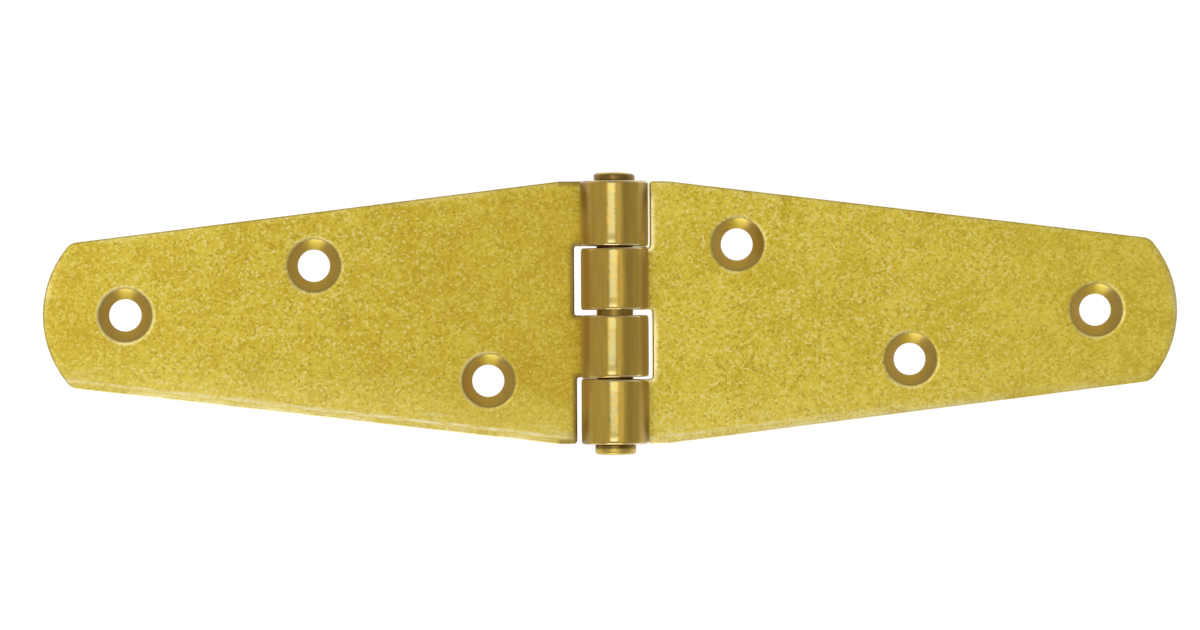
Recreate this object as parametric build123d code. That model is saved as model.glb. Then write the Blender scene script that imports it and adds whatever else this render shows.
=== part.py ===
from build123d import *
import math
import os

# A double strap hinge, lying open flat. Two leaves of one stamping, pierced and countersunk for screws,
# are rolled at their inner ends into interleaved knuckles, and a riveted pin runs through all four.
# Lengths are in millimetres. +X runs from the pin along the right leaf, +Y along the pin, and +Z away
# from the surface that the leaves are screwed to. z = 0 is the back of both leaves, and x = y = 0 is
# the middle of the pin.

# Sheet, pin and roll
sheet = 2.0                     # thickness of both leaves
pin_diameter = 4.8
pin_clearance = 0.05            # radial, between the pin and the knuckles
seam_gap = 0.15                 # between the end of the roll and the plate below it

# Knuckles, measured along the pin
outer_knuckle = 8.5             # the first and the last
inner_knuckle = 8.15            # the two in the middle
side_gap = 0.3                  # between an outer knuckle and its neighbour
middle_gap = 0.7                # between the two inner knuckles

# Notches that give the other leaf's knuckles room, measured outwards from the barrel
inner_notch_clearance = 0.7
end_notch_clearance = 0.4
notch_corner_radius = 0.3
notch_mouth_radius = 0.5        # where the end notch runs out at the side of the leaf

# Outline of a leaf
leaf_reach = 75.0               # from the pin's axis to the middle of the tip
parallel_stretch = 2.3          # of the sides, from the end notch to the start of the taper
taper_start_radius = 6.0
tip_width = 19.0                # between the corners of the tip
tip_crown = 3.7                 # how far the tip's arc stands out past its corners
tip_corner_radius = 2.0

# Screw holes, countersunk from the front
screw_hole = 4.25               # diameter
countersink_angle = 90
hole_land = 0.575               # straight wall left under the countersink
lip_width = 0.15                # of the shallow bevel round the countersink
lip_depth = 0.06
near_hole_reach = 16.5          # from the pin's axis
middle_hole_reach = 39.4
far_hole_inset = 10.8           # from the tip
near_hole_margin = 7.25         # from the tapered side, across the leaf
middle_hole_margin = 7.0

# Riveted heads of the pin
head_overhang = 0.3             # radial, past the shank
head_clearance = 0.1            # between a head and the knuckle beside it
top_head = 1.15                 # from the knuckle's end to the top of the head
bottom_head = 1.45
head_crown = 0.12               # rise of the domed end
head_edge_radius = 0.42

# Bevel on every cut edge of the sheet, where the burr is taken off
edge_break = 0.25

# Sizes that follow from those above
bore_radius = pin_diameter / 2 + pin_clearance
barrel_radius = bore_radius + sheet
leaf_width = 2 * (outer_knuckle + side_gap + inner_knuckle) + middle_gap
half_width = leaf_width / 2
inner_notch_reach = barrel_radius + inner_notch_clearance
end_notch_reach = barrel_radius + end_notch_clearance
taper_start = end_notch_reach + parallel_stretch
tip_corner_reach = leaf_reach - tip_crown
head_radius = pin_diameter / 2 + head_overhang

# A slope under this counts as none
level_slope = 1e-6


def side_offset(reach):
    """Half the width of a leaf on its tapered stretch, at a distance from the pin's axis."""
    slope = (half_width - tip_width / 2) / (tip_corner_reach - taper_start)
    return half_width - slope * (reach - taper_start)


def rolled_section():
    """The sheet seen along the pin: a flat plate whose inner end curls up, over and down round the pin."""
    pin_centre = (0, barrel_radius)
    end_angle = math.degrees(math.asin((seam_gap - bore_radius) / barrel_radius))
    roll_angle = 270 - end_angle
    with BuildSketch(Plane.XZ) as section:
        with BuildLine():
            outside = CenterArc(pin_centre, barrel_radius, 270, -roll_angle)
            inside = CenterArc(pin_centre, bore_radius, 270, -roll_angle)
            Line(outside @ 1, inside @ 1)
            Polyline(outside @ 0, (leaf_reach, 0), (leaf_reach, sheet), inside @ 0)
        make_face()
    return section.sketch


def round_corners(outline, corners, radius):
    """Round the corners of an outline that lie at the given points."""
    for corner in corners:
        fillet(outline.vertices().sort_by_distance(corner)[0], radius)


def leaf_outline():
    """The right leaf from above, with tapered sides, a crowned tip and a notch for each knuckle it faces."""
    roll_side = -2 * barrel_radius
    side_corners = ((taper_start, half_width), (taper_start, -half_width))
    tip_corners = ((tip_corner_reach, tip_width / 2), (tip_corner_reach, -tip_width / 2))
    end_notch_bottom = middle_gap / 2 + inner_knuckle
    inner_notch_top = middle_gap / 2
    inner_notch_width = middle_gap + inner_knuckle + side_gap
    inner_notch_bottom = inner_notch_top - inner_notch_width
    notch_corners = (
        (end_notch_reach, end_notch_bottom),
        (inner_notch_reach, inner_notch_top),
        (inner_notch_reach, inner_notch_bottom),
    )
    with BuildSketch() as outline:
        with BuildLine():
            Polyline(tip_corners[0], side_corners[0], (roll_side, half_width))
            Line((roll_side, half_width), (roll_side, -half_width))
            Polyline((roll_side, -half_width), side_corners[1], tip_corners[1])
            ThreePointArc(tip_corners[1], (leaf_reach, 0), tip_corners[0])
        make_face()
        with Locations((roll_side, end_notch_bottom)):
            Rectangle(end_notch_reach - roll_side, half_width, align=Align.MIN, mode=Mode.SUBTRACT)
        with Locations((roll_side, inner_notch_bottom)):
            Rectangle(inner_notch_reach - roll_side, inner_notch_width, align=Align.MIN, mode=Mode.SUBTRACT)
        round_corners(outline, tip_corners, tip_corner_radius)
        round_corners(outline, side_corners, taper_start_radius)
        round_corners(outline, notch_corners, notch_corner_radius)
        round_corners(outline, [(end_notch_reach, half_width)], notch_mouth_radius)
    return outline.sketch


def is_level(edge):
    """Whether an edge is an arc, or a straight line that doesn't rise."""
    return edge.geom_type != GeomType.LINE or abs(edge.tangent_at(0).Z) < level_slope


def cut_edges(leaf):
    """The edges between the cut sides of the blank and the two faces of the sheet."""
    cut_sides = leaf.faces().filter_by(lambda face: abs(face.normal_at().Z) < level_slope)
    return cut_sides.edges().filter_by(is_level)


def screw_hole_cutter():
    """What a hole takes out of the sheet: a straight bore, a countersink and a shallow bevel at its rim."""
    bore = screw_hole / 2
    rise = sheet - lip_depth - hole_land
    rim = bore + rise * math.tan(math.radians(countersink_angle / 2))
    with BuildPart() as cutter:
        with BuildSketch(Plane.XZ):
            with BuildLine():
                Polyline((0, 0), (bore, 0), (bore, hole_land), (rim, sheet - lip_depth))
                Polyline((rim, sheet - lip_depth), (rim + lip_width, sheet), (0, sheet), (0, 0))
            make_face()
        revolve(axis=Axis.Z)
    return cutter.part


def make_right_leaf():
    """The rolled sheet, cut to the leaf's outline, with its cut edges broken and its holes pierced."""
    far_hole_reach = leaf_reach - far_hole_inset
    hole_centres = (
        (near_hole_reach, side_offset(near_hole_reach) - near_hole_margin),
        (middle_hole_reach, middle_hole_margin - side_offset(middle_hole_reach)),
        (far_hole_reach, 0),
    )
    with BuildPart() as leaf:
        extrude(rolled_section(), half_width, both=True)
        extrude(leaf_outline(), 2 * barrel_radius, mode=Mode.INTERSECT)
        chamfer(cut_edges(leaf), edge_break)
        with Locations(*hole_centres):
            add(screw_hole_cutter(), mode=Mode.SUBTRACT)
    return leaf.part


def make_head(height):
    """A riveted head at the pin's +Y end: a disc with a rounded rim and a domed end."""
    seat = half_width + head_clearance
    end = half_width + height
    with BuildPart() as head:
        with BuildSketch() as profile:
            with BuildLine():
                dome = TangentArc((0, end), (head_radius, end - head_crown), tangent=(1, 0))
                Polyline(dome @ 1, (head_radius, seat), (0, seat), (0, end))
            make_face()
            fillet(profile.vertices().sort_by_distance(dome @ 1)[0], head_edge_radius)
        revolve(axis=Axis.Y)
    return head.part


def make_pin():
    """The pin, with its riveted heads just clear of the end knuckles."""
    shank = Rot(X=90) * Cylinder(pin_diameter / 2, leaf_width + 2 * head_clearance)
    pin = shank + make_head(top_head) + Rot(Z=180) * make_head(bottom_head)
    return Pos(Z=barrel_radius) * pin


right_leaf = make_right_leaf()
parts = {
    "left_leaf": Rot(Z=180) * right_leaf,
    "right_leaf": right_leaf,
    "pin": make_pin(),
}
os.makedirs("parts", exist_ok=True)
for name, part in parts.items():
    export_step(part, f"parts/{name}.step")
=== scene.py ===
import math
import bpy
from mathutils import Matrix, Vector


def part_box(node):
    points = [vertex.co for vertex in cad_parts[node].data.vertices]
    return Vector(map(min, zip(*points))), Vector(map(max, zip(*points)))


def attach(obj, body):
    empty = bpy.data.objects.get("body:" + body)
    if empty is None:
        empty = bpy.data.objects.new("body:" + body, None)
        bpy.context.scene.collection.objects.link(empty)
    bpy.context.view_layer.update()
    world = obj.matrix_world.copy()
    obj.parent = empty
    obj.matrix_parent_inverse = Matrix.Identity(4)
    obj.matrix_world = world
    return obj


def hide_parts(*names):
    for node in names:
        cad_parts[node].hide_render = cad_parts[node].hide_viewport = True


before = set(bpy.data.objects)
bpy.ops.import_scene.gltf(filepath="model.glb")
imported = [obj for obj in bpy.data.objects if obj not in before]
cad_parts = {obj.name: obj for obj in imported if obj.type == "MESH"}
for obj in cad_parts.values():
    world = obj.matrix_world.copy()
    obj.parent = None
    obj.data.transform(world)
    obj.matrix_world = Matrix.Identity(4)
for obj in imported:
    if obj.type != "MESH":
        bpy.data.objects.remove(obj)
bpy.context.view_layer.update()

from types import SimpleNamespace

import bmesh
import bpy
from mathutils import Matrix, Vector, geometry, noise

# The looks of a brass strap hinge that lies open. Each leaf is a flat blank, pierced and countersunk, whose
# fingers a Geometry Nodes tree rolls round the pin. The pin is turned and its heads are hammered over.
# Lengths are in millimetres in this file, and in metres in the meshes. Light levels are radiances.
MM = 0.001

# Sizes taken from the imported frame
leaf_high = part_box("right_leaf")[1]
pin_low, pin_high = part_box("pin")
leaf_reach = leaf_high.x / MM
half_width = leaf_high.y / MM
pin_top = pin_high.y / MM
pin_bottom = -pin_low.y / MM
head_radius = (pin_high.z - pin_low.z) / 2 / MM
pin_height = (pin_high.z + pin_low.z) / 2 / MM

# Sheet and roll
sheet = 2.0
bore_radius = 2.45
neutral_radius = bore_radius + sheet / 2
roll_angle = math.radians(301.13)
roll_steps = 100
finger_length = neutral_radius * roll_angle

# The roll leaves the crest of a knuckle a little nearer its own leaf than the bore is
crest_shift = 0.12

# Fingers that are rolled into knuckles, as the lower and upper edge of each on the right leaf
fingers = ((0.35, 8.535), (-half_width, -8.765))
finger_corner = 0.35
end_notch_reach = 4.85
inner_notch_reach = 5.15
notch_corner = 0.3
notch_mouth = 0.5

# Outline of a leaf
taper_start = 7.15
taper_corner = 6.0
tip_corner_reach = 71.3
tip_half_width = 9.5
tip_corner = 2.0
point_spacing = 2.2
arc_step = math.radians(6)

# The notches between the fingers were cut a little out of square. A point belongs to a finger when it lies
# past its root by more than the tolerance.
end_slant = 0.028
root_tolerance = 0.05

# Edges: both faces of the sheet roll off softly towards a cut edge and end in a tight corner. Each is a
# width and a depth. The rows are how far in from the edge the mesh follows the roll.
front_roll = (1.0, 0.07)
front_corner = (0.2, 0.16)
front_rows = (0.35, 0.5, 0.67, 0.85, 1.05)
back_roll = (1.9, 0.16)
back_corner = (0.32, 0.24)
back_rows = (0.5, 0.75, 1.05, 1.4, 1.8)
corner_steps = 6

# The back rolls off fully only where it becomes the crest of a knuckle, and by this share elsewhere
plain_share = 0.2

# Screw holes: centres on the right leaf, and the sizes of the rings down each one
hole_centres = ((16.5, 8.913), (39.4, -6.379), (64.2, 0.0))
hole_radius = 2.125
hole_land = 0.575
countersink_radius = 3.49
countersink_height = 1.93
lip_radius = 3.98
lip_steps = 6
cone_steps = 8
back_break = 0.12
back_break_steps = 3
hole_segments = 96

# Wear and painted highlight: the crest is rubbed, and tinted as a painted highlight, along a line this far
# to the -X side of the pin, where the lamps' highlight falls. The right leaf's notch edges, which face -X,
# take the rub colour more than its other edges as a painted highlight, and the left one's, which face +X,
# hardly at all. The wear of an edge runs a short way in over the front, and the lip of a screw hole has a
# share of it.
crest_wear = 0.6
left_notch_highlight_share = 0.2
right_notch_highlight_share = 1.5
wear_width = 0.85
lip_wear = 0.6

# Pin. The narrow gaps are the ones beside the end knuckles, as a distance from the middle of the pin.
shank_radius = 2.4
narrow_gap = 8.65
head_seat = half_width + 0.1
head_edge = 0.42
head_crown = 0.12
head_bevel = 0.06
shank_bevel = 0.05
crown_steps = 7
shoulder_steps = 6
waist_steps = 24
pin_segments = 112

# Hammering: how deep it goes, how far the top head leans, and the pitch of its dents and of its flats
hammer_depth = 0.035
head_lean = 0.16
dents_per_mm = 0.55
flats_per_dent = 2.3
flat_offset = Vector((7.1, 3.3, 1.7))

# Edges are shaded smooth where the faces beside them turn by less than this
leaf_smooth_angle = math.radians(32)
pin_smooth_angle = math.radians(40)

# Camera: straight above but for a small tilt, with a long lens
lens = 200.0
sensor = 36.0
frame_width = 158.2
camera_tilt = math.radians(4.0)
camera_roll = math.radians(0.33)
camera_target = (-1.79, -0.32, sheet)

# Stage: the floor lies just below a leaf that hangs straight down
world_level = 0.45
floor_clearance = 5.0
floor_height = pin_height - leaf_reach - floor_clearance
floor_half_size = 5000.0
floor_grey = 0.3
floor_glow = 0.85

# Lamps: azimuth and elevation in degrees, distance, width, height and level. The first three make one pale
# ceiling that the knuckles mirror, with a darker gap and a brighter strip in it.
lamps = {
    "overhead": (132, 73.6, 2600, 1230, 1270, 1.66),
    "ceiling_gap": (208.5, 76.7, 2600, 1230, 440, 0.55),
    "ceiling_strip": (232.6, 71.3, 2600, 1230, 290, 2.9),
    "left_fill": (180, 35, 1500, 1400, 1200, 0.12),
    "right_fill": (0, 76, 1500, 420, 1500, 0.38),
    "front_card": (264, 13, 1400, 800, 800, 2.35),
}
steep_elevation = 60


def add_object(name, data):
    """A new object in the scene."""
    made = bpy.data.objects.new(name, data)
    bpy.context.scene.collection.objects.link(made)
    return made


def aim(thing, place, right, up, back):
    """Put an object at a place, with its own axes along three directions."""
    turn = Matrix((right, up, back)).transposed().to_4x4()
    thing.matrix_world = Matrix.Translation(place * MM) @ turn


def make_camera():
    """The camera at the photograph's viewing angle."""
    data = bpy.data.cameras.new("camera")
    data.lens = lens
    data.sensor_width = sensor
    data.clip_start = 0.01
    data.clip_end = 20.0
    camera = add_object("camera", data)
    bpy.context.scene.camera = camera
    back = Vector((-math.sin(camera_tilt), 0, math.cos(camera_tilt)))
    level_right = Vector((math.cos(camera_tilt), 0, math.sin(camera_tilt)))
    level_up = Vector((0, 1, 0))
    right = level_right * math.cos(camera_roll) - level_up * math.sin(camera_roll)
    up = level_right * math.sin(camera_roll) + level_up * math.cos(camera_roll)
    distance = frame_width * lens / sensor
    aim(camera, Vector(camera_target) + back * distance, right, up, back)


make_camera()


# Node helpers
def feed(tree, socket, value):
    """Link a socket from another one, or give it a value."""
    if isinstance(value, bpy.types.NodeSocket):
        tree.links.new(value, socket)
    else:
        socket.default_value = value


def add_node(tree, kind, inputs=None, **settings):
    """A new node with its settings, and what goes into its inputs by their names or numbers."""
    node = tree.nodes.new(kind)
    for name, value in settings.items():
        setattr(node, name, value)
    for name, value in (inputs or {}).items():
        feed(tree, node.inputs[name], value)
    return node


def maths(tree, operation, *values, clamp=False):
    """The result of a Math node."""
    inputs = dict(enumerate(values))
    return add_node(tree, "ShaderNodeMath", inputs, operation=operation, use_clamp=clamp).outputs[0]


def product(tree, first, second):
    """Two values multiplied."""
    return maths(tree, "MULTIPLY", first, second)


def separate(tree, vector):
    """The three parts of a vector."""
    return add_node(tree, "ShaderNodeSeparateXYZ", {0: vector}).outputs


def combine(tree, *parts):
    """A vector made of its parts. Parts that aren't given are 0."""
    return add_node(tree, "ShaderNodeCombineXYZ", dict(enumerate(parts))).outputs[0]


def blend_colour(tree, share, first, second):
    """Two colours mixed by a share. Sockets 6, 7 and 2 of a Mix node are the ones for colours."""
    inputs = {"Factor": share, 6: first, 7: second}
    return add_node(tree, "ShaderNodeMix", inputs, data_type="RGBA").outputs[2]


def remap(tree, value, low, high, to_low=0.0, to_high=1.0, smooth=True):
    """A value moved from one range to another, kept inside it."""
    inputs = {"Value": value, "From Min": low, "From Max": high, "To Min": to_low, "To Max": to_high}
    kind = "SMOOTHSTEP" if smooth else "LINEAR"
    return add_node(tree, "ShaderNodeMapRange", inputs, interpolation_type=kind).outputs[0]


def noise_value(tree, vector, scale, detail, roughness):
    """A noise texture's value."""
    inputs = {"Vector": vector, "Scale": scale, "Detail": detail, "Roughness": roughness}
    return add_node(tree, "ShaderNodeTexNoise", inputs).outputs["Fac"]


def attribute_value(tree, name):
    """A number stored on the points of the mesh."""
    return add_node(tree, "ShaderNodeAttribute", attribute_name=name).outputs["Fac"]


def linear(red, green, blue):
    """A colour written as it looks on a screen, from 0 to 255, as the shader's own values."""
    values = []
    for part in (red, green, blue):
        share = part / 255
        values.append(share / 12.92 if share <= 0.04045 else ((share + 0.055) / 1.055) ** 2.4)
    return (*values, 1.0)


# Stage and light
def plain_material(name):
    """A new material, its tree, and the socket that its surface goes into."""
    material = bpy.data.materials.new(name)
    material.use_nodes = True
    tree = material.node_tree
    tree.nodes.clear()
    return material, tree, add_node(tree, "ShaderNodeOutputMaterial").inputs["Surface"]


def make_floor():
    """A large pale floor. What looks at it sees white, and the shadow stays."""
    material, tree, surface = plain_material("white_floor")
    diffuse = add_node(tree, "ShaderNodeBsdfDiffuse", {"Color": (floor_grey, floor_grey, floor_grey, 1)})
    path = add_node(tree, "ShaderNodeLightPath")
    seen = maths(tree, "MAXIMUM", path.outputs["Is Camera Ray"], path.outputs["Is Glossy Ray"])
    seen = maths(tree, "MAXIMUM", seen, path.outputs["Is Transmission Ray"])
    emission = add_node(tree, "ShaderNodeEmission", {"Strength": product(tree, seen, floor_glow)})
    both = add_node(tree, "ShaderNodeAddShader", {0: diffuse.outputs[0], 1: emission.outputs[0]})
    feed(tree, surface, both.outputs[0])
    mesh = bpy.data.meshes.new("floor")
    reach = floor_half_size * MM
    height = floor_height * MM
    corners = [(x * reach, y * reach, height) for x, y in ((-1, -1), (1, -1), (1, 1), (-1, 1))]
    mesh.from_pydata(corners, [], [(0, 1, 2, 3)])
    mesh.materials.append(material)
    add_object("floor", mesh)


def make_world():
    """A plain grey room."""
    world = bpy.data.worlds.new("room")
    world.use_nodes = True
    background = world.node_tree.nodes["Background"]
    background.inputs["Color"].default_value = (1, 1, 1, 1)
    background.inputs["Strength"].default_value = world_level
    bpy.context.scene.world = world


def make_softbox(name, azimuth, elevation, distance, width, height, radiance):
    """A rectangular lamp that faces the hinge. Azimuth 0 is +X and 90 is +Y. Its height runs upwards, or
    towards +Y where the lamp is steep."""
    data = bpy.data.lights.new(name, "AREA")
    data.shape = "RECTANGLE"
    data.size = width * MM
    data.size_y = height * MM
    data.energy = radiance * math.pi * data.size * data.size_y
    lamp = add_object(name, data)
    lamp.visible_camera = False
    around, up = math.radians(azimuth), math.radians(elevation)
    direction = Vector((math.cos(around) * math.cos(up), math.sin(around) * math.cos(up), math.sin(up)))
    level = Vector((0, 1, 0)) if elevation > steep_elevation else Vector((0, 0, 1))
    across = level.cross(direction).normalized()
    aim(lamp, direction * distance, across, direction.cross(across), direction)


make_floor()
make_world()
for name, values in lamps.items():
    make_softbox(name, *values)
bpy.context.scene.view_settings.view_transform = "Standard"


# The blank
def arc(centre, radius, start, end):
    """Points on an arc, both ends included."""
    steps = max(2, math.ceil(abs(end - start) / arc_step))
    angles = [start + (end - start) * step / steps for step in range(steps + 1)]
    return [Vector((centre[0] + radius * math.cos(a), centre[1] + radius * math.sin(a))) for a in angles]


def rounded_corner(before, corner, after, radius):
    """Points of the arc that rounds a corner between two straight lines."""
    before, corner, after = Vector(before), Vector(corner), Vector(after)
    inwards = (before - corner).normalized()
    outwards = (after - corner).normalized()
    half = inwards.angle(outwards) / 2
    centre = corner + (inwards + outwards).normalized() * radius / math.sin(half)
    start = corner + inwards * radius / math.tan(half) - centre
    end = corner + outwards * radius / math.tan(half) - centre
    turn = start.angle_signed(end)
    first = math.atan2(start.y, start.x)
    return arc(centre, radius, first, first - turn)


def tip_points():
    """The crowned tip, from the lower side of the leaf to the upper one, with its two corners rounded."""
    crown = leaf_reach - tip_corner_reach
    radius = (tip_half_width ** 2 + crown ** 2) / (2 * crown)
    centre = Vector((leaf_reach - radius, 0))
    side = (Vector((tip_corner_reach, tip_half_width)) - Vector((taper_start, half_width))).normalized()
    inward = Vector((side.y, -side.x))
    start = Vector((taper_start, half_width)) + inward * tip_corner - centre
    along = side.dot(start)
    gap = radius - tip_corner
    reach = -along + math.sqrt(along ** 2 - start.length_squared + gap ** 2)
    corner_centre = start + side * reach + centre
    tangent = corner_centre - centre
    tangent_angle = math.atan2(tangent.y, tangent.x)
    side_angle = math.atan2(-inward.y, -inward.x)
    upper = arc(corner_centre, tip_corner, tangent_angle, side_angle)
    lower = [Vector((point.x, -point.y)) for point in reversed(upper)]
    return lower[:-1] + arc(centre, radius, -tangent_angle, tangent_angle) + upper[1:]


def finger_points(upper, lower, slant):
    """A finger from its upper root to its lower one, with a point at each step of the roll. Rolled up, its
    upper end leans across the pin by the slant."""
    straight = finger_length - finger_corner

    def leaning(x):
        return upper + slant * neutral_radius * math.sin(x / neutral_radius)

    steps = [-straight * step / roll_steps for step in range(roll_steps + 1)]
    upper_side = [Vector((x, leaning(x))) for x in steps]
    lower_side = [Vector((x, lower)) for x in reversed(steps)]
    centre_upper = (-straight, leaning(-straight) - finger_corner)
    centre_lower = (-straight, lower + finger_corner)
    corner_upper = arc(centre_upper, finger_corner, math.pi / 2, math.pi)
    corner_lower = arc(centre_lower, finger_corner, math.pi, 3 * math.pi / 2)
    return upper_side + corner_upper[1:] + corner_lower[:-1] + lower_side


def close_up(points):
    """The outline with points added on its long straight lines and double ones dropped."""
    outline = []
    for index, point in enumerate(points):
        following = points[(index + 1) % len(points)]
        gap = (following - point).length
        if gap < 1e-4:
            continue
        outline.append(point)
        pieces = math.ceil(gap / point_spacing)
        is_straight_side = min(point.x, following.x) >= -1e-6
        if is_straight_side:
            outline.extend(point.lerp(following, piece / pieces) for piece in range(1, pieces))
    return outline


def leaf_outline():
    """The right leaf's blank from above, anticlockwise."""
    upper, lower = fingers
    end_root = (end_notch_reach, upper[1])
    inner_top = (inner_notch_reach, upper[0])
    inner_bottom = (inner_notch_reach, lower[1])
    side_top = (taper_start, half_width)
    side_bottom = (taper_start, -half_width)
    tip_top = (tip_corner_reach, tip_half_width)
    tip_bottom = (tip_corner_reach, -tip_half_width)
    mouth = (end_notch_reach, half_width)
    points = tip_points()
    points += rounded_corner(tip_top, side_top, mouth, taper_corner)
    points += rounded_corner(side_top, mouth, end_root, notch_mouth)
    points += rounded_corner(mouth, end_root, (0, upper[1]), notch_corner)
    points += finger_points(upper[1], upper[0], end_slant)
    points += rounded_corner((0, upper[0]), inner_top, inner_bottom, notch_corner)
    points += rounded_corner(inner_top, inner_bottom, (0, lower[1]), notch_corner)
    points += finger_points(lower[1], lower[0], -end_slant)
    points += rounded_corner((0, -half_width), side_bottom, tip_bottom, taper_corner)
    return close_up(points)


def inset(outline, distance):
    """The outline moved into the material by a distance."""
    moved = []
    for index, point in enumerate(outline):
        before = (point - outline[index - 1]).normalized()
        after = (outline[(index + 1) % len(outline)] - point).normalized()
        first = Vector((-before.y, before.x))
        second = Vector((-after.y, after.x))
        middle = (first + second).normalized()
        moved.append(point + middle * distance / middle.dot(first))
    return moved


def roll_off(roll, distance):
    """How far a face has rolled off at a distance in from the cut edge."""
    width, depth = roll
    return depth * max(0.0, 1 - distance / width) ** 2


def back_height(x, distance):
    """How high the back lies at a distance in from the cut edge, before its corner is rounded."""
    towards_crest = max(0.0, -math.cos(min(x, 0.0) / neutral_radius))
    return roll_off(back_roll, distance) * (plain_share + (1 - plain_share) * towards_crest)


def edge_profile():
    """Steps up the cut edge of the sheet, as how far in from the outline, how high, and whether the height is
    measured from the back."""
    profile = []
    for step in range(corner_steps + 1):
        angle = math.pi / 2 * step / corner_steps
        profile.append((back_corner[0] * (1 - math.sin(angle)), back_corner[1] * (1 - math.cos(angle)), True))
    for step in range(corner_steps + 1):
        angle = math.pi / 2 * step / corner_steps
        distance = front_corner[0] * (1 - math.cos(angle))
        height = sheet - roll_off(front_roll, distance) - front_corner[1] * (1 - math.sin(angle))
        profile.append((distance, height, False))
    return profile


def hole_profile():
    """Rings down a screw hole, from the front face to the back one, as radius and height."""
    rings = []
    drop = sheet - countersink_height
    for step in range(lip_steps + 1):
        share = step / lip_steps
        rings.append((lip_radius + (countersink_radius - lip_radius) * share, sheet - drop * share ** 2))
    for step in range(1, cone_steps + 1):
        share = step / cone_steps
        radius = countersink_radius + (hole_radius - countersink_radius) * share
        rings.append((radius, countersink_height + (hole_land - countersink_height) * share))
    rings.append((hole_radius, back_break))
    for step in range(1, back_break_steps + 1):
        angle = math.pi / 2 * step / back_break_steps
        rings.append((hole_radius + back_break * (1 - math.cos(angle)), back_break * (1 - math.sin(angle))))
    return rings


def is_inside(polygon, point):
    """Whether a point is inside a closed line."""
    inside = False
    for index, corner in enumerate(polygon):
        previous = polygon[index - 1]
        if (corner.y > point.y) != (previous.y > point.y):
            crossing = corner.x + (previous.x - corner.x) * (point.y - corner.y) / (previous.y - corner.y)
            if point.x < crossing:
                inside = not inside
    return inside


def edge_distance(outline, point):
    """How far a point is from a closed line."""
    nearest = math.inf
    for index, corner in enumerate(outline):
        start = outline[index - 1]
        run = corner - start
        share = max(0.0, min(1.0, (point - start).dot(run) / run.length_squared))
        nearest = min(nearest, (start + run * share - point).length)
    return nearest


def roll_points(outline, rows):
    """Rows of points along the plate's edges, where a face rolls off towards them."""
    points = []
    for distance in rows:
        for point in inset(outline, distance):
            if point.x > distance and edge_distance(outline, point) > distance * 0.98:
                points.append(point)
    return points


def plate_faces(outline, rings, extra):
    """Triangles that fill a face, as points and faces. Its edge and the rings round its holes come first."""
    loops = [outline, *rings]
    points = [point for loop in loops for point in loop]
    edges = []
    start = 0
    for loop in loops:
        edges += [(start + index, start + (index + 1) % len(loop)) for index in range(len(loop))]
        start += len(loop)
    points += extra
    edge_points = list(points)
    clearance = point_spacing * 0.45
    columns = math.ceil(leaf_reach / point_spacing)
    rows = math.ceil(half_width / point_spacing)
    for column in range(columns):
        for row in range(-rows, rows + 1):
            shift = point_spacing / 2 if row % 2 else 0
            point = Vector((column * point_spacing + shift, row * point_spacing * 0.9))
            in_hole = any(is_inside(ring, point) for ring in rings)
            if is_inside(outline, point) and not in_hole:
                if min((point - other).length for other in edge_points) > clearance:
                    points.append(point)
    made, _, triangles, _, _, _ = geometry.delaunay_2d_cdt(points, edges, [], 0, 1e-7)
    faces = []
    for triangle in triangles:
        centre = sum((made[index] for index in triangle), Vector((0, 0))) / 3
        if is_inside(outline, centre) and not any(is_inside(ring, centre) for ring in rings):
            faces.append(triangle)
    return made, faces


def circle_angles(segments):
    """Angles all round a circle."""
    return [2 * math.pi * index / segments for index in range(segments)]


def join_loops(mesh, lower, upper):
    """Faces between two closed rows of points."""
    for index in range(len(lower)):
        following = (index + 1) % len(lower)
        mesh.faces.new((lower[index], lower[following], upper[following], upper[index]))


def finished_mesh(mesh, name, smooth_angle):
    """The mesh as it is kept, shaded smooth across the edges that turn by less than an angle."""
    for edge in mesh.edges:
        edge.smooth = len(edge.link_faces) == 2 and edge.calc_face_angle() < smooth_angle
    for face in mesh.faces:
        face.smooth = True
    data = bpy.data.meshes.new(name)
    mesh.to_mesh(data)
    mesh.free()
    return data


def flat_place(vertex):
    """Where a vertex of the blank lies, seen from above."""
    return Vector((vertex.co.x / MM, vertex.co.y / MM))


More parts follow.
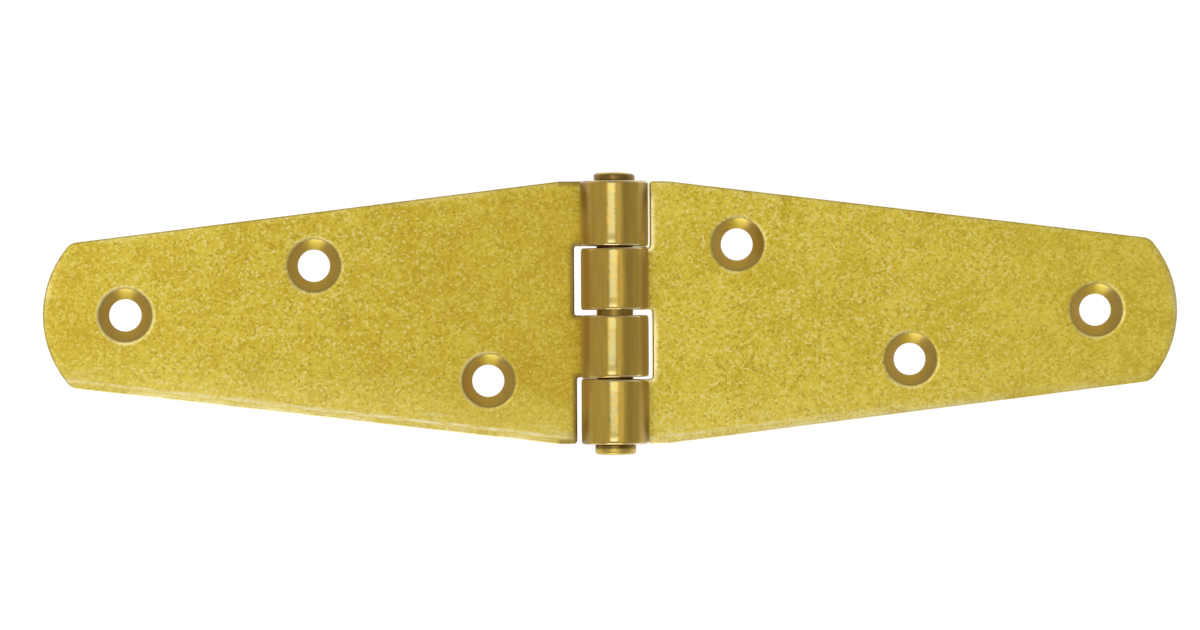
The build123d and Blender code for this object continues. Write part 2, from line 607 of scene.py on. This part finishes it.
class Blank:
    """The flat blank of a leaf while it is made, back down, with its fingers towards -X. Its points keep two
    marks: edge is how much a point is worn, up to 1 on a cut edge, and cone is 1 in a countersink."""

    def __init__(self):
        self.outline = leaf_outline()
        self.mesh = bmesh.new()
        self.edge_mark = self.mesh.verts.layers.float.new("edge")
        self.cone_mark = self.mesh.verts.layers.float.new("cone")

    def add_point(self, x, y, z, edge=0.0, cone=0.0):
        """A point of the mesh with its marks, placed in millimetres."""
        vertex = self.mesh.verts.new((x * MM, y * MM, z * MM))
        vertex[self.edge_mark] = edge
        vertex[self.cone_mark] = cone
        return vertex

    def add_rolled_point(self, point, is_front):
        """A point on one of the two faces, as low as the face rolls off there."""
        distance = edge_distance(self.outline, point)
        if is_front:
            worn = max(0.0, 1 - distance / wear_width)
            return self.add_point(point.x, point.y, sheet - roll_off(front_roll, distance), worn)
        return self.add_point(point.x, point.y, back_height(point.x, distance))

    def add_face(self, corners, is_front):
        """A face, from corners that run anticlockwise when they are seen from above."""
        self.mesh.faces.new(corners if is_front else corners[::-1])

    def add_edges(self):
        """The cut edge all round the blank. Its rows of points are given back, from the back to the front."""
        edge_loops = []
        for step, (distance, height, from_back) in enumerate(edge_profile()):
            worn = 1.0 if step else 0.0
            loop = []
            for point in inset(self.outline, distance):
                base = back_height(point.x, distance) if from_back else 0.0
                loop.append(self.add_point(point.x, point.y, base + height, worn))
            edge_loops.append(loop)
        for lower, upper in zip(edge_loops, edge_loops[1:]):
            join_loops(self.mesh, lower, upper)
        return edge_loops

    def add_hole(self, x, y):
        """The wall of a screw hole. Its rings of points are given back, from the front to the back."""
        loops = []
        for step, (radius, height) in enumerate(hole_profile()):
            in_cone = float(lip_steps <= step <= lip_steps + cone_steps)
            on_lip = lip_wear if 0 < step < lip_steps else 0.0
            loops.append([
                self.add_point(x + radius * math.cos(a), y + radius * math.sin(a), height, on_lip, in_cone)
                for a in circle_angles(hole_segments)
            ])
        for upper, lower in zip(loops, loops[1:]):
            join_loops(self.mesh, upper, lower)
        return loops

    def across_finger(self, first, last):
        """New points across the back of a finger, in rows that follow the roll-off at its two sides."""
        start, end = flat_place(first), flat_place(last)
        side = (end - start).normalized()
        rows = [distance - back_corner[0] for distance in back_rows]
        places = [start + side * row for row in rows] + [end - side * row for row in reversed(rows)]
        return [self.add_rolled_point(place, False) for place in places]

    def close_finger(self, finger, is_front):
        """Faces across a finger, from its root to its end. The points added at its root are given back."""
        last = len(finger) - 1
        root_points = [] if is_front else self.across_finger(finger[0], finger[last])
        row = [finger[0], *root_points, finger[last]]
        for step in range(1, last // 2 + 1):
            is_plain = is_front or step == last // 2
            inner = [] if is_plain else self.across_finger(finger[step], finger[last - step])
            following = [finger[step], *inner, finger[last - step]]
            if len(following) == len(row):
                for index in range(len(row) - 1):
                    corners = [row[index], following[index], following[index + 1], row[index + 1]]
                    self.add_face(corners, is_front)
            else:
                self.add_face([*row[::-1], *following], is_front)
            row = following
        return root_points

    def close_face(self, edge_loop, hole_rings, is_front):
        """The front or the back: each finger is closed first, and then the plate between them."""
        known = []
        finger = []
        for index, vertex in enumerate(edge_loop):
            if flat_place(vertex).x < -root_tolerance:
                if not finger:
                    finger.append(edge_loop[index - 1])
                finger.append(vertex)
            else:
                if finger:
                    finger.append(vertex)
                    known += self.close_finger(finger, is_front)
                    finger = []
                known.append(vertex)
        plate_outline = [flat_place(vertex) for vertex in known]
        ring_corners = [[flat_place(vertex) for vertex in ring] for ring in hole_rings]
        known += [vertex for ring in hole_rings for vertex in ring]
        rows = roll_points(self.outline, front_rows if is_front else back_rows)
        points, triangles = plate_faces(plate_outline, ring_corners, rows)
        vertices = known + [self.add_rolled_point(point, is_front) for point in points[len(known):]]
        for triangle in triangles:
            self.add_face([vertices[index] for index in triangle], is_front)


def make_blank():
    """The finished blank of a leaf, as mesh data."""
    blank = Blank()
    edge_loops = blank.add_edges()
    hole_loops = [blank.add_hole(*centre) for centre in hole_centres]
    blank.close_face(edge_loops[-1], [loops[0] for loops in hole_loops], True)
    blank.close_face(edge_loops[0], [loops[-1] for loops in hole_loops], False)
    blank.mesh.normal_update()
    return finished_mesh(blank.mesh, "blank", leaf_smooth_angle)


# The roll
def make_roll_tree():
    """A tree that rolls a blank's fingers round the pin, and turns the leaf to its side of the hinge."""
    tree = bpy.data.node_groups.new("roll_round_pin", "GeometryNodeTree")
    tree.is_modifier = True
    inputs = {
        "Blank": "NodeSocketGeometry",
        "Bore radius": "NodeSocketFloat",
        "Sheet": "NodeSocketFloat",
        "Crest shift": "NodeSocketFloat",
        "Turn about Z": "NodeSocketFloat",
        "Finish": "NodeSocketMaterial",
    }
    for name, kind in inputs.items():
        tree.interface.new_socket(name, in_out="INPUT", socket_type=kind)
    tree.interface.new_socket("Leaf", in_out="OUTPUT", socket_type="NodeSocketGeometry")
    given = add_node(tree, "NodeGroupInput")
    result = add_node(tree, "NodeGroupOutput")
    bore = given.outputs["Bore radius"]
    thickness = given.outputs["Sheet"]
    x, y, z = separate(tree, add_node(tree, "GeometryNodeInputPosition").outputs[0])
    outside = maths(tree, "ADD", bore, thickness)
    neutral = maths(tree, "MULTIPLY_ADD", thickness, 0.5, bore)
    finger = maths(tree, "MAXIMUM", product(tree, x, -1.0), 0.0)
    turned = maths(tree, "DIVIDE", finger, neutral)
    radius = maths(tree, "SUBTRACT", outside, z)
    across = product(tree, radius, maths(tree, "SINE", turned))
    downward = maths(tree, "COSINE", turned)
    drop = product(tree, radius, downward)
    new_x = maths(tree, "SUBTRACT", maths(tree, "MAXIMUM", x, 0.0), across)
    new_z = maths(tree, "SUBTRACT", outside, drop)
    outward = maths(tree, "SUBTRACT", 1.0, maths(tree, "DIVIDE", z, thickness))
    upward = maths(tree, "MAXIMUM", product(tree, downward, -1.0), 0.0)
    shifted = product(tree, outward, upward)
    new_x = maths(tree, "MULTIPLY_ADD", shifted, given.outputs["Crest shift"], new_x)
    marked = {"Geometry": given.outputs["Blank"], "Name": "rolled", "Value": turned}
    mark = add_node(tree, "GeometryNodeStoreNamedAttribute", marked, data_type="FLOAT", domain="POINT")
    bent = {"Geometry": mark.outputs[0], "Position": combine(tree, new_x, y, new_z)}
    bend = add_node(tree, "GeometryNodeSetPosition", bent)
    rotation = combine(tree, 0.0, 0.0, given.outputs["Turn about Z"])
    turn = add_node(tree, "GeometryNodeTransform", {"Geometry": bend.outputs[0], "Rotation": rotation})
    realize = add_node(tree, "GeometryNodeRealizeInstances", {"Geometry": turn.outputs[0]})
    finished = {"Geometry": realize.outputs[0], "Material": given.outputs["Finish"]}
    finish = add_node(tree, "GeometryNodeSetMaterial", finished)
    feed(tree, result.inputs[0], finish.outputs[0])
    return tree


def baked(blank, name, tree, values):
    """The blank put through a tree with the given inputs, as a plain mesh object with even shading."""
    piece = add_object(name, blank)
    modifier = piece.modifiers.new("shape", "NODES")
    modifier.node_group = tree
    for socket in tree.interface.items_tree:
        if socket.name in values:
            modifier[socket.identifier] = values[socket.name]
    evened = piece.modifiers.new("even", "WEIGHTED_NORMAL")
    evened.keep_sharp = True
    depsgraph = bpy.context.evaluated_depsgraph_get()
    made = bpy.data.meshes.new_from_object(
        piece.evaluated_get(depsgraph), preserve_all_data_layers=True, depsgraph=depsgraph
    )
    made.name = name
    piece.modifiers.clear()
    piece.data = made
    return piece


# The pin
def head_profile(end):
    """A head from the middle of its domed end to its seat, as radius and distance along the pin."""
    points = []
    rim = head_radius - head_edge
    for step in range(1, crown_steps + 1):
        share = step / crown_steps
        points.append((rim * share, end - head_crown * (share * rim / head_radius) ** 2))
    shoulder = end - head_crown * (rim / head_radius) ** 2
    for step in range(1, shoulder_steps + 1):
        angle = math.pi / 2 * step / shoulder_steps
        points.append((rim + head_edge * math.sin(angle), shoulder - head_edge * (1 - math.cos(angle))))
    points.append((head_radius, head_seat + head_bevel))
    points.append((head_radius - head_bevel, head_seat))
    points.append((shank_radius + shank_bevel, head_seat))
    points.append((shank_radius, head_seat - shank_bevel))
    return points


def hammered(radius, along, angle, end):
    """Where a point of a head lies once the head has been hammered over: the rim is a little uneven and the
    end has shallow flats, always inside the true head."""
    if abs(along) <= head_seat:
        return radius, along
    place = Vector((math.cos(angle) * radius, math.sin(angle) * radius, end)) * dents_per_mm
    dent = max(0.0, min(1.0, 0.5 + noise.noise(place)))
    flat = max(0.0, min(1.0, 0.5 + noise.noise(place * flats_per_dent + flat_offset)))
    share = radius / head_radius
    pulled = radius - hammer_depth * dent * share
    lean = head_lean * max(0.0, math.cos(angle) * share) ** 1.5 if along > 0 else 0.0
    sunk = abs(along) - hammer_depth * (0.6 * flat + 0.4 * dent) - lean
    lowest = head_seat + 0.001
    return pulled, math.copysign(max(sunk, lowest), along)


def make_pin(material):
    """The pin as one turned solid with a head at each end."""
    top = head_profile(pin_top)
    bottom = [(radius, -along) for radius, along in head_profile(pin_bottom)]
    waist_end = head_seat - shank_bevel
    waist = [(shank_radius, waist_end * (1 - 2 * step / waist_steps)) for step in range(1, waist_steps)]
    rings = top + waist + bottom[::-1]
    mesh = bmesh.new()

    def add_point(radius, along, angle, end):
        moved_radius, moved_along = hammered(radius, along, angle, end)
        x = moved_radius * math.cos(angle) * MM
        z = (pin_height + moved_radius * math.sin(angle)) * MM
        return mesh.verts.new((x, moved_along * MM, z))

    loops = []
    for radius, along in rings:
        end = pin_top if along > 0 else -pin_bottom
        loops.append([add_point(radius, along, angle, end) for angle in circle_angles(pin_segments)])
    for upper, lower in zip(loops, loops[1:]):
        join_loops(mesh, upper, lower)
    for loop, end in ((loops[0], pin_top), (loops[-1], -pin_bottom)):
        pole = add_point(0.0, end, 0.0, end)
        for index in range(pin_segments):
            mesh.faces.new((pole, loop[index], loop[(index + 1) % pin_segments]))
    bmesh.ops.recalc_face_normals(mesh, faces=mesh.faces)
    data = finished_mesh(mesh, "riveted_pin", pin_smooth_angle)
    data.materials.append(material)
    return add_object("riveted_pin", data)


# Finishes: brass in its different states, and colours that stand in for light and shade, as one colour or
# as the two that a pattern mixes
fresh_brass = linear(203, 177, 55), linear(225, 204, 82)
# A darker tone of the sheet, mixed in more along the left leaf towards the pin
darker_sheet_brass = linear(180, 152, 42), linear(202, 177, 61)
burnished_brass = linear(197, 160, 70), linear(210, 174, 73)
# The countersink's own brass, and a painted highlight for its side that faces -Y
countersink_and_highlight_brass = linear(193, 168, 96), linear(208, 188, 86)
drawn_brass = linear(160, 132, 62), linear(176, 146, 70)
# A painted highlight for the lower side of the sheet, which faces the low lamp
lower_side_highlight_brass = linear(245, 225, 115)
# Pale rubbed brass, also used as a painted highlight on edges and along the lower side
rubbed_brass = linear(242, 231, 182)
pale_fleck = linear(238, 226, 164)
dark_fleck = linear(160, 130, 50)
# Painted shade for the left leaf's notch edges, which face +X, away from the lamps
notch_shade_brass = linear(152, 124, 58)
lowest_knuckle_brass = linear(226, 190, 84)
# A painted dark reflection for a line beside the crest
painted_dark_line_brass = linear(161, 130, 60)
# A painted highlight tint for the crest, where the lamps' highlight falls
crest_brass = linear(163, 147, 60)
# A painted sheen for the knuckles' flanks where they turn from the eye
grazing_brass = linear(208, 178, 122)
# Painted shade for the knuckles' flanks at both ends of the barrel
end_flank_shade_brass = linear(150, 120, 52)
head_side_brass = linear(128, 100, 56)
# Bright hammered brass, which also stands as a painted highlight, most on the lower head
hammered_and_highlight_brass = linear(208, 180, 88)
# Painted shade for the pin where it shows in the narrow gaps
painted_gap_shade = linear(96, 68, 40)


def new_group(name, inputs, outputs):
    """An empty shader group with named inputs and outputs, and its two end nodes."""
    group = bpy.data.node_groups.new(name, "ShaderNodeTree")
    for socket_name, kind, value in inputs:
        socket = group.interface.new_socket(socket_name, in_out="INPUT", socket_type=kind)
        if value is not None:
            socket.default_value = value
    for socket_name, kind in outputs:
        group.interface.new_socket(socket_name, in_out="OUTPUT", socket_type=kind)
    return group, add_node(group, "NodeGroupInput"), add_node(group, "NodeGroupOutput")


def make_grain_group():
    """The fine sparkle of tumbled brass: a few facets stand out pale or dark, over a soft mottle."""
    group, given, result = new_group(
        "tumbled_grain",
        (("Vector", "NodeSocketVector", None), ("Fleck size", "NodeSocketFloat", 0.37)),
        (("Pale", "NodeSocketFloat"), ("Dark", "NodeSocketFloat"), ("Mottle", "NodeSocketFloat"),
         ("Height", "NodeSocketFloat")),
    )
    per_metre = maths(group, "DIVIDE", 1.0 / MM, given.outputs["Fleck size"])
    facets = add_node(group, "ShaderNodeTexVoronoi", {"Vector": given.outputs["Vector"], "Scale": per_metre})
    tone = add_node(group, "ShaderNodeSeparateColor", {"Color": facets.outputs["Color"]})
    fine = noise_value(group, given.outputs["Vector"], per_metre, 3.0, 0.7)
    mixed = maths(group, "MULTIPLY_ADD", fine, 0.3, tone.outputs[0])
    coarse = noise_value(group, given.outputs["Vector"], 230.0, 5.0, 0.65)
    mottle = maths(group, "MULTIPLY_ADD", mixed, 0.5, coarse)
    feed(group, result.inputs["Pale"], remap(group, mixed, 0.88, 1.25))
    feed(group, result.inputs["Dark"], remap(group, mixed, 0.36, 0.1))
    feed(group, result.inputs["Mottle"], remap(group, mottle, 0.49, 1.13))
    feed(group, result.inputs["Height"], fine)
    return group


def make_rub_group():
    """How much an edge has been rubbed bright, or given a painted highlight where the mark says so, from a
    mark on the mesh and a break-up. A mark over 1 fills the gaps in it."""
    group, given, result = new_group(
        "edge_rub_and_highlight",
        (("Vector", "NodeSocketVector", None), ("Mark", "NodeSocketFloat", 0.0)),
        (("Rubbed", "NodeSocketFloat"),),
    )
    patchy = remap(group, noise_value(group, given.outputs["Vector"], 110.0, 4.0, 0.6), 0.38, 0.62, 0.1, 1.0)
    rubbed = maths(group, "MULTIPLY", given.outputs["Mark"], patchy, clamp=True)
    feed(group, result.inputs["Rubbed"], rubbed)
    return group


def side_distances(tree, x, y):
    """How far in a point lies from the lower side of a leaf, and from the upper one."""
    slope = (half_width - tip_half_width) / (tip_corner_reach - taper_start)
    across = math.cos(math.atan(slope))
    at_pin = (half_width + slope * taper_start) * across * MM
    to_side = maths(tree, "MULTIPLY_ADD", maths(tree, "ABSOLUTE", x), -slope * across, at_pin)
    from_lower = maths(tree, "MULTIPLY_ADD", y, across, to_side)
    from_upper = maths(tree, "MULTIPLY_ADD", y, -across, to_side)
    return from_lower, from_upper


def lower_side_highlight_strength(tree, x):
    """How strong the painted highlight on the lower side is along the hinge: most on the left leaf near the
    pin.
    """
    on_left = remap(tree, x, -leaf_reach * MM, -30 * MM, 0.2, 0.36, smooth=False)
    return product(tree, on_left, remap(tree, x, -6 * MM, 45 * MM, 1.0, 0.15, smooth=False))


def lower_side_highlight_lines(tree, x, from_lower):
    """A painted highlight line that runs beside the lower side of a leaf, and fainter broken ones further in.
    """
    run = combine(tree, product(tree, x, 180.0), product(tree, from_lower, 1700.0))
    streaks = remap(tree, noise_value(tree, run, 1.0, 2.0, 0.5), 0.52, 0.68, 0.0, 1.1)
    streaks = product(tree, streaks, remap(tree, from_lower, 3.2 * MM, 1.2 * MM))
    # The painted highlight line lies where the front rolls off towards the low lamp
    from_line = maths(tree, "ABSOLUTE", maths(tree, "SUBTRACT", from_lower, 0.93 * MM))
    broken = remap(tree, noise_value(tree, run, 2.3, 3.0, 0.65), 0.36, 0.62, 0.3, 2.6)
    line = product(tree, remap(tree, from_line, 0.36 * MM, 0.08 * MM), broken)
    return maths(tree, "MAXIMUM", line, streaks)


def grain_values(tree, grain_group, place, fleck_size):
    """The grain's four values in a material."""
    inputs = {"Vector": place, "Fleck size": fleck_size}
    return add_node(tree, "ShaderNodeGroup", inputs, node_tree=grain_group).outputs


def crest_rub(tree, at):
    """How much the crest of a knuckle is rubbed and tinted as a painted highlight: a line along the pin, set
    where the highlight falls, that wanders and is patchy.
    """
    # The crest's rub and painted highlight tint lie where the lamps' highlight falls
    crest_line = maths(tree, "MULTIPLY_ADD", at.wander, 1.0 * MM, (crest_wear - 0.5) * MM)
    from_crest = maths(tree, "ABSOLUTE", maths(tree, "ADD", at.x, crest_line))
    crest = product(tree, remap(tree, from_crest, 0.75 * MM, 0.35 * MM), at.on_top)
    return product(tree, crest, remap(tree, at.grain["Mottle"], 0.0, 1.0, 0.5, 1.0))


def edge_rub_and_highlight(tree, at, rub_group):
    """How much an edge is rubbed bright, partly as a painted highlight: by a share of its own in each leaf's
    notches, much more on the right leaf's, which face -X, than on the left one's, which face +X, and less on
    the upper sides, which face +Y."""
    # Painted highlight: notch edges that face -X take more of the rub colour, those facing +X take little
    notches = remap(tree, at.x, -4 * MM, 4 * MM, left_notch_highlight_share - 1, right_notch_highlight_share - 1, smooth=False)
    mark = product(tree, at.edge, maths(tree, "MULTIPLY_ADD", at.near_pin, notches, 1.0))
    on_side = maths(tree, "SUBTRACT", 1.0, at.near_pin)
    # Painted shade: the upper sides, which face +Y, take less of the rub colour
    upper_side_dimming = product(tree, remap(tree, at.from_upper, 1.6 * MM, 0.9 * MM), on_side)
    mark = product(tree, mark, maths(tree, "MULTIPLY_ADD", upper_side_dimming, -0.65, 1.0))
    inputs = {"Vector": at.place, "Mark": mark}
    return add_node(tree, "ShaderNodeGroup", inputs, node_tree=rub_group).outputs["Rubbed"]


def roll_streaks(tree, at):
    """Streaks that run round the roll."""
    around = combine(tree, product(tree, at.turned, 11.0), product(tree, at.y, 140.0))
    return noise_value(tree, around, 1.0, 3.0, 0.6)


def leaf_readings(tree, grain_group, rub_group):
    """What the finish of a leaf goes by: where a point is, and how it is rolled, marked and worn."""
    at = SimpleNamespace()
    surface = add_node(tree, "ShaderNodeTexCoord")
    at.place = surface.outputs["Object"]
    at.x, at.y, at.z = separate(tree, at.place)
    at.faces_y = separate(tree, surface.outputs["Normal"])[1]
    at.near_pin = remap(tree, maths(tree, "ABSOLUTE", at.x), 7.6 * MM, 7.0 * MM)
    at.on_right = remap(tree, at.x, -0.1 * MM, 0.1 * MM)
    at.on_top = remap(tree, at.z, 7.0 * MM, 8.0 * MM)
    at.from_lower, at.from_upper = side_distances(tree, at.x, at.y)

    at.edge = attribute_value(tree, "edge")
    at.cone = attribute_value(tree, "cone")
    at.turned = attribute_value(tree, "rolled")
    at.rolled = remap(tree, at.turned, 0.35, 0.9)
    at.past_top = maths(tree, "SUBTRACT", at.turned, math.pi)
    at.from_top = maths(tree, "ABSOLUTE", at.past_top)
    # A painted sheen on the knuckles' flanks, by how far they turn from the eye
    turned_away = add_node(tree, "ShaderNodeLayerWeight").outputs["Facing"]
    at.grazing = product(tree, remap(tree, turned_away, 0.18, 0.7), at.rolled)

    at.grain = grain_values(tree, grain_group, at.place, 0.29)
    at.grainy = maths(tree, "SUBTRACT", 1.0, maths(tree, "MAXIMUM", at.rolled, at.cone))
    at.wander = noise_value(tree, at.place, 450.0, 4.0, 0.65)
    at.streaks = roll_streaks(tree, at)
    at.crest = crest_rub(tree, at)
    at.rubbed = edge_rub_and_highlight(tree, at, rub_group)
    return at


def sheet_colour(tree, at):
    """The flat sheet: a tone that darkens along the left leaf towards the pin, flecks that sparkle, a painted
    highlight in a band and broken lines along the lower side, and painted shade on the edges round the left
    leaf's notches, which face +X."""
    # The sheet darkens along the left leaf towards the pin, and a little on the right leaf
    left_darkening = remap(tree, at.x, -leaf_reach * MM, -5 * MM, 0.2, 0.75, smooth=False)
    darkening = maths(tree, "MULTIPLY_ADD", at.on_right, -0.65, left_darkening)
    fresh = blend_colour(tree, at.grain["Mottle"], *fresh_brass)
    darker_sheet = blend_colour(tree, at.grain["Mottle"], *darker_sheet_brass)
    colour = blend_colour(tree, darkening, fresh, darker_sheet)

    # Painted highlight: a pale band and broken lines along the lower side
    lower_highlight = lower_side_highlight_strength(tree, at.x)
    lower_highlight_band = product(tree, remap(tree, at.from_lower, 8.0 * MM, 0.3 * MM), lower_highlight)
    colour = blend_colour(tree, lower_highlight_band, colour, lower_side_highlight_brass)

    along_leaf = maths(tree, "FRACT", maths(tree, "MULTIPLY_ADD", at.x, 1 / (leaf_reach * MM), 1.0))
    sparkle = product(tree, at.grainy, remap(tree, along_leaf, 0.45, 0.95, 1.0, 0.4))
    sparkle = product(tree, sparkle, remap(tree, at.x, -leaf_reach * MM, -52 * MM, 0.6, 1.0))
    pale = product(tree, at.grain["Pale"], product(tree, sparkle, 0.52))
    colour = blend_colour(tree, pale, colour, pale_fleck)
    dark = product(tree, at.grain["Dark"], product(tree, sparkle, 0.44))
    colour = blend_colour(tree, dark, colour, dark_fleck)

    lower_highlight_lines = product(tree, lower_side_highlight_lines(tree, at.x, at.from_lower), lower_highlight)
    colour = blend_colour(tree, lower_highlight_lines, colour, rubbed_brass)
    # Painted shade on the left leaf's notch edges
    painted_notch_shade = product(tree, remap(tree, at.edge, 0.0, 0.6, 0.0, 0.75), at.near_pin)
    painted_notch_shade = product(tree, painted_notch_shade, maths(tree, "SUBTRACT", 1.0, at.on_right))
    return blend_colour(tree, painted_notch_shade, colour, notch_shade_brass)


def knuckle_colour(tree, at):
    """The rolled sheet: burnished in streaks, with a rubbed crest that carries a painted highlight tint
    beside a line of painted dark reflection, a painted sheen on the flanks where they turn from the eye, a
    brighter lowest knuckle, and painted shade on the flanks at both ends of the barrel."""
    colour = blend_colour(tree, remap(tree, at.streaks, 0.3, 0.7), *burnished_brass)
    lowest = remap(tree, at.y, -8.3 * MM, -9.2 * MM, 0.0, 0.25)
    colour = blend_colour(tree, lowest, colour, lowest_knuckle_brass)
    # Painted dark reflection: a line beside the crest that follows it on each leaf
    line_place = maths(tree, "MULTIPLY_ADD", maths(tree, "SIGN", at.past_top), 0.17 * MM, 1.47 * MM)
    from_line = maths(tree, "ABSOLUTE", maths(tree, "SUBTRACT", at.x, line_place))
    painted_dark_line = product(tree, remap(tree, from_line, 0.65 * MM, 0.15 * MM, 0.0, 0.38), at.on_top)
    colour = blend_colour(tree, painted_dark_line, colour, painted_dark_line_brass)
    # The crest's painted highlight tint
    colour = blend_colour(tree, at.crest, colour, crest_brass)
    colour = blend_colour(tree, at.grazing, colour, grazing_brass)
    flank = product(tree, remap(tree, at.from_top, 0.65, 1.15), at.rolled)
    from_middle = maths(tree, "ABSOLUTE", at.y)
    # Painted shade on the flanks towards both ends of the barrel
    painted_end_shade = product(tree, remap(tree, from_middle, 12.0 * MM, 15.5 * MM), flank)
    return blend_colour(tree, product(tree, painted_end_shade, 0.85), colour, end_flank_shade_brass)


def leaf_colour(tree, at):
    """The sheet and its knuckles, with countersinks that carry a painted highlight on the side that faces -Y,
    and edges that are rubbed bright, partly as a painted highlight.
    """
    colour = blend_colour(tree, at.rolled, sheet_colour(tree, at), knuckle_colour(tree, at))
    # Painted highlight on the countersink's side that faces -Y
    countersink_with_highlight = blend_colour(tree, remap(tree, at.faces_y, -0.58, -0.69), *countersink_and_highlight_brass)
    colour = blend_colour(tree, at.cone, colour, countersink_with_highlight)
    # Rubbed edges, partly a painted highlight
    return blend_colour(tree, product(tree, at.rubbed, 0.54), colour, rubbed_brass)


def leaf_roughness(tree, at):
    """Least on the knuckles, and less where an edge is rubbed or a hole is countersunk."""
    rough = remap(tree, at.rolled, 0.0, 1.0, 0.47, 0.2, smooth=False)
    rough = maths(tree, "MULTIPLY_ADD", at.rubbed, -0.17, rough)
    rough = maths(tree, "MULTIPLY_ADD", at.cone, -0.13, rough)
    flank = product(tree, remap(tree, at.from_top, 0.35, 0.8), at.rolled)
    return maths(tree, "MULTIPLY_ADD", flank, 0.14, rough)


def leaf_bump(tree, at):
    """The relief of the grain, and on the knuckles that of their streaks and small dents."""
    height = product(tree, at.grain["Height"], at.grainy)
    height = maths(tree, "MULTIPLY_ADD", at.streaks, product(tree, at.rolled, 0.3), height)
    height = maths(tree, "MULTIPLY_ADD", at.wander, product(tree, at.rolled, 4.0), height)
    inputs = {"Strength": 0.25, "Distance": 0.03 * MM, "Height": height}
    return add_node(tree, "ShaderNodeBump", inputs).outputs[0]


def make_leaf_brass(grain_group, rub_group):
    """Tumbled sheet brass, with a gloss where it is rubbed or rolled."""
    material, tree, surface = plain_material("leaf_brass")
    at = leaf_readings(tree, grain_group, rub_group)
    coat = maths(tree, "MULTIPLY_ADD", at.rubbed, 0.4, product(tree, at.rolled, 0.06))
    shader = add_node(tree, "ShaderNodeBsdfPrincipled", {
        "Base Color": leaf_colour(tree, at),
        "Metallic": maths(tree, "MULTIPLY_ADD", at.grazing, -0.18, 1.0),
        "Roughness": leaf_roughness(tree, at),
        "Coat Weight": maths(tree, "MAXIMUM", at.crest, coat),
        "Coat Roughness": 0.1,
        "Coat IOR": 1.9,
        "Normal": leaf_bump(tree, at),
    })
    feed(tree, surface, shader.outputs[0])
    return material


def make_pin_brass(grain_group):
    """Dull drawn rod, darkened with painted shade where it shows in the narrow gaps. The sides of its heads
    are darker, and their hammered ends are bright, partly as a painted highlight that reaches further in on
    the lower one."""
    material, tree, surface = plain_material("pin_brass")
    place = add_node(tree, "ShaderNodeTexCoord").outputs["Object"]
    y = separate(tree, place)[1]
    from_middle = maths(tree, "ABSOLUTE", y)
    from_gap = maths(tree, "ABSOLUTE", maths(tree, "SUBTRACT", from_middle, narrow_gap * MM))
    # Painted shade on the pin in the narrow gaps
    gap_shade = remap(tree, from_gap, 0.6 * MM, 0.25 * MM)
    mottle = grain_values(tree, grain_group, place, 0.3)["Mottle"]
    colour = blend_colour(tree, mottle, *drawn_brass)
    colour = blend_colour(tree, gap_shade, colour, painted_gap_shade)
    head_side = remap(tree, from_middle, (head_seat - 0.1) * MM, head_seat * MM, 0.0, 0.8)
    colour = blend_colour(tree, head_side, colour, head_side_brass)
    # The lower head's bright end reaches further in, as a painted highlight
    at_bottom = remap(tree, y, 0.0, -head_seat * MM)
    spread = maths(tree, "MULTIPLY_ADD", at_bottom, 0.25 * MM, from_middle)
    hammered_end_and_highlight = remap(tree, spread, (head_seat + 0.6) * MM, (head_seat + 0.9) * MM)
    colour = blend_colour(tree, hammered_end_and_highlight, colour, hammered_and_highlight_brass)
    rough = remap(tree, mottle, 0.0, 1.0, 0.34, 0.42, smooth=False)
    inputs = {"Base Color": colour, "Metallic": 1.0, "Roughness": rough}
    feed(tree, surface, add_node(tree, "ShaderNodeBsdfPrincipled", inputs).outputs[0])
    return material


grain_group = make_grain_group()
rub_group = make_rub_group()
leaf_brass = make_leaf_brass(grain_group, rub_group)
pin_brass = make_pin_brass(grain_group)

roll_tree = make_roll_tree()
blank = make_blank()
for node, turn in (("right_leaf", 0.0), ("left_leaf", math.pi)):
    values = {
        "Bore radius": bore_radius * MM,
        "Sheet": sheet * MM,
        "Crest shift": crest_shift * MM,
        "Turn about Z": turn,
        "Finish": leaf_brass,
    }
    leaf = baked(blank, f"rolled_{node}", roll_tree, values)
    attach(leaf, node)
    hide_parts(node)
pin = make_pin(pin_brass)
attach(pin, "left_leaf")
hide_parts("pin")
